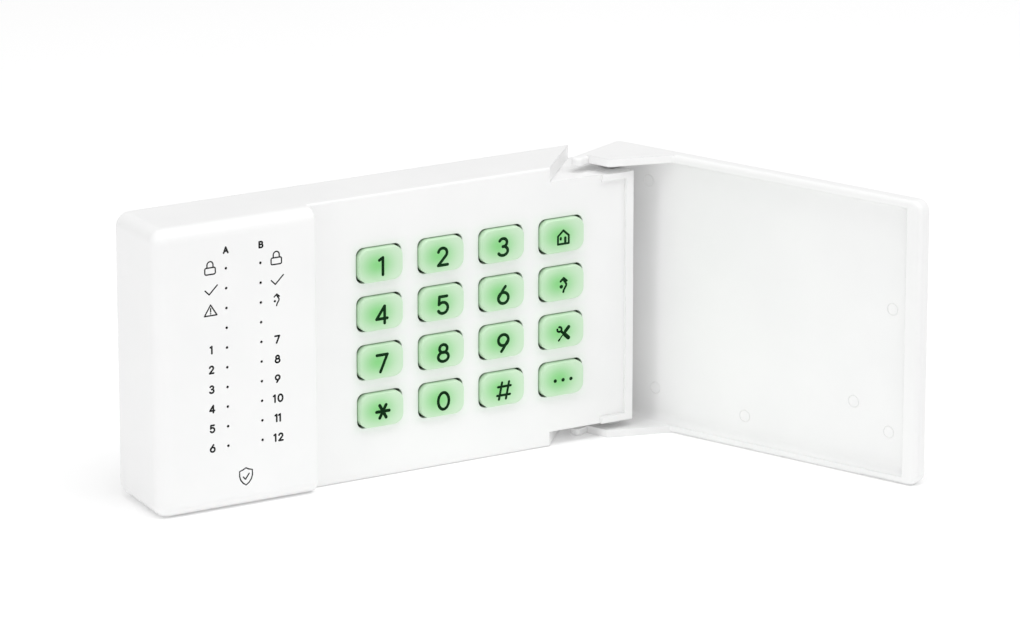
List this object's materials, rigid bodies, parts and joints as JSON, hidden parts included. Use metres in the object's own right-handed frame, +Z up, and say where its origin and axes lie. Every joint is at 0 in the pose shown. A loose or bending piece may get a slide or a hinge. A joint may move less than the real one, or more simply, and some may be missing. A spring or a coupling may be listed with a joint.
{
  "type": "alarm keypad panel",
  "caption": "Wall-mounted alarm keypad with a raised indicator block, a lower deck of backlit keys, and a hinged door over the keys that stands open.",
  "frame": {"origin": "on the wall face, at the centre of the closed panel's back", "axes": "+X to the right along the panel, +Y into the wall, +Z up"},
  "size_m": [0.1774, 0.0901, 0.073],
  "materials": {
    "white_case": "satin gloss, fine moulded texture",
    "key_translucent": "translucent, lit green from behind",
    "mat_rubber": "matt translucent silicone",
    "board_laminate": "solder mask",
    "lamp_clear": "clear resin",
    "black_moulding": "matt",
    "screw_steel": "zinc plated",
    "terminal_green": "satin",
    "clamp_brass": "plated",
    "plunger_white": "satin",
    "spring_steel": "drawn wire",
    "chip_epoxy": "matt epoxy",
    "capacitor_can": "bright can",
    "header_pins": "matt",
    "jumper_blue": "satin"
  },
  "bodies": {
    "housing": {"front_housing": "white_case", "wall_plate": "white_case", "main_board": "board_laminate", "keypad_mat": "mat_rubber", "indicator_lamps": "lamp_clear", "backlight_lamps": "lamp_clear", "lamp_baffle": "black_moulding", "board_screws": "screw_steel", "cover_screw": "screw_steel", "terminal_block": "terminal_green", "terminal_screws": "screw_steel", "terminal_clamps": "clamp_brass", "buzzer": "black_moulding", "tamper_switch": "black_moulding", "tamper_spring": "spring_steel", "microcontroller": "chip_epoxy", "voltage_regulator": "chip_epoxy", "capacitors": "capacitor_can", "address_header": "header_pins", "address_jumper": "jumper_blue"},
    "door": {"door": "white_case"},
    "tamper_plunger": {"tamper_plunger": "plunger_white"},
    "key_1": {"key_1": "key_translucent"},
    "key_2": {"key_2": "key_translucent"},
    "key_3": {"key_3": "key_translucent"},
    "key_home": {"key_home": "key_translucent"},
    "key_4": {"key_4": "key_translucent"},
    "key_5": {"key_5": "key_translucent"},
    "key_6": {"key_6": "key_translucent"},
    "key_bypass": {"key_bypass": "key_translucent"},
    "key_7": {"key_7": "key_translucent"},
    "key_8": {"key_8": "key_translucent"},
    "key_9": {"key_9": "key_translucent"},
    "key_setup": {"key_setup": "key_translucent"},
    "key_star": {"key_star": "key_translucent"},
    "key_0": {"key_0": "key_translucent"},
    "key_hash": {"key_hash": "key_translucent"},
    "key_menu": {"key_menu": "key_translucent"}
  },
  "joints": [
    {"name": "door_hinge", "type": "hinge", "parent": "housing", "child": "door", "pos_m": [0.06375, -0.012, 0], "axis": [0, 0, 1], "range_deg": [-114, 1.5]},
    {"name": "key_1_press", "type": "slide", "parent": "housing", "child": "key_1", "axis": [0, 1, 0], "range_m": [0, 0.001], "stiffness_N_per_m": 1200, "deforming": ["keypad_mat"]},
    {"name": "key_2_press", "type": "slide", "parent": "housing", "child": "key_2", "axis": [0, 1, 0], "range_m": [0, 0.001], "stiffness_N_per_m": 1200, "deforming": ["keypad_mat"]},
    {"name": "key_3_press", "type": "slide", "parent": "housing", "child": "key_3", "axis": [0, 1, 0], "range_m": [0, 0.001], "stiffness_N_per_m": 1200, "deforming": ["keypad_mat"]},
    {"name": "key_home_press", "type": "slide", "parent": "housing", "child": "key_home", "axis": [0, 1, 0], "range_m": [0, 0.001], "stiffness_N_per_m": 1200, "deforming": ["keypad_mat"]},
    {"name": "key_4_press", "type": "slide", "parent": "housing", "child": "key_4", "axis": [0, 1, 0], "range_m": [0, 0.001], "stiffness_N_per_m": 1200, "deforming": ["keypad_mat"]},
    {"name": "key_5_press", "type": "slide", "parent": "housing", "child": "key_5", "axis": [0, 1, 0], "range_m": [0, 0.001], "stiffness_N_per_m": 1200, "deforming": ["keypad_mat"]},
    {"name": "key_6_press", "type": "slide", "parent": "housing", "child": "key_6", "axis": [0, 1, 0], "range_m": [0, 0.001], "stiffness_N_per_m": 1200, "deforming": ["keypad_mat"]},
    {"name": "key_bypass_press", "type": "slide", "parent": "housing", "child": "key_bypass", "axis": [0, 1, 0], "range_m": [0, 0.001], "stiffness_N_per_m": 1200, "deforming": ["keypad_mat"]},
    {"name": "key_7_press", "type": "slide", "parent": "housing", "child": "key_7", "axis": [0, 1, 0], "range_m": [0, 0.001], "stiffness_N_per_m": 1200, "deforming": ["keypad_mat"]},
    {"name": "key_8_press", "type": "slide", "parent": "housing", "child": "key_8", "axis": [0, 1, 0], "range_m": [0, 0.001], "stiffness_N_per_m": 1200, "deforming": ["keypad_mat"]},
    {"name": "key_9_press", "type": "slide", "parent": "housing", "child": "key_9", "axis": [0, 1, 0], "range_m": [0, 0.001], "stiffness_N_per_m": 1200, "deforming": ["keypad_mat"]},
    {"name": "key_setup_press", "type": "slide", "parent": "housing", "child": "key_setup", "axis": [0, 1, 0], "range_m": [0, 0.001], "stiffness_N_per_m": 1200, "deforming": ["keypad_mat"]},
    {"name": "key_star_press", "type": "slide", "parent": "housing", "child": "key_star", "axis": [0, 1, 0], "range_m": [0, 0.001], "stiffness_N_per_m": 1200, "deforming": ["keypad_mat"]},
    {"name": "key_0_press", "type": "slide", "parent": "housing", "child": "key_0", "axis": [0, 1, 0], "range_m": [0, 0.001], "stiffness_N_per_m": 1200, "deforming": ["keypad_mat"]},
    {"name": "key_hash_press", "type": "slide", "parent": "housing", "child": "key_hash", "axis": [0, 1, 0], "range_m": [0, 0.001], "stiffness_N_per_m": 1200, "deforming": ["keypad_mat"]},
    {"name": "key_menu_press", "type": "slide", "parent": "housing", "child": "key_menu", "axis": [0, 1, 0], "range_m": [0, 0.001], "stiffness_N_per_m": 1200, "deforming": ["keypad_mat"]},
    {"name": "tamper_press", "type": "slide", "parent": "housing", "child": "tamper_plunger", "axis": [0, -1, 0], "range_m": [0, 0.001], "stiffness_N_per_m": 400, "deforming": ["tamper_spring"]}
  ]
}
